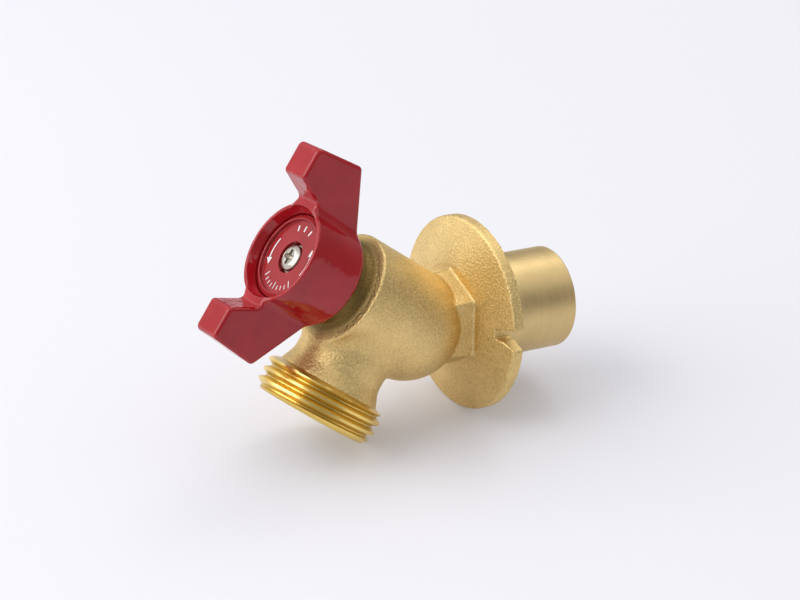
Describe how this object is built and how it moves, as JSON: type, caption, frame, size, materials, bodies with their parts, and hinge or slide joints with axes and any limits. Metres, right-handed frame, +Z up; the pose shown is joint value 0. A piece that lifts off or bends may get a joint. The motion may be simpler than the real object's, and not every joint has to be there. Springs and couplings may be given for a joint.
{
  "type": "hose bib",
  "caption": "Brass quarter-turn hose bib with a round wall flange, hexagon, slanting stem, male hose-thread outlet, plain solder inlet and a red two-winged handle.",
  "frame": {"origin": "centre of the flange's wall face, on the inlet axis", "axes": "+Y along the inlet into the wall, +Z up, -Y out into the open; the stem slants up and the outlet down in the X = 0 plane"},
  "size_m": [0.041, 0.0828, 0.0638],
  "materials": {
    "cast_brass": "as-cast, sand-blasted, with satin turned barrel and bright thread",
    "turned_brass": "turned",
    "chrome_plate": "polished plating on the ball",
    "ptfe": "smooth white PTFE",
    "seal_rubber": "matte black rubber",
    "red_enamel": "glossy enamel over a die casting",
    "red_plate": "semi-gloss print with white marks",
    "screw_steel": "nickel-plated steel"
  },
  "bodies": {
    "body": {"valve_body": "cast_brass", "rear_seat": "ptfe", "outlet_seat": "ptfe", "seat_oring": "seal_rubber", "seat_retainer": "turned_brass", "thrust_washer": "ptfe", "packing_ring": "ptfe", "gland_ring": "turned_brass", "packing_nut": "turned_brass"},
    "handle_group": {"handle": "red_enamel", "index_plate": "red_plate", "lock_washer": "screw_steel", "handle_screw": "screw_steel", "valve_stem": "turned_brass", "stem_oring": "seal_rubber", "valve_ball": "chrome_plate"}
  },
  "joints": [
    {"name": "handle_turn", "type": "hinge", "parent": "body", "child": "handle_group", "pos_m": [0, -0.016, 0], "axis": [0, 0.8276, -0.5614], "range_deg": [0, 90]}
  ]
}
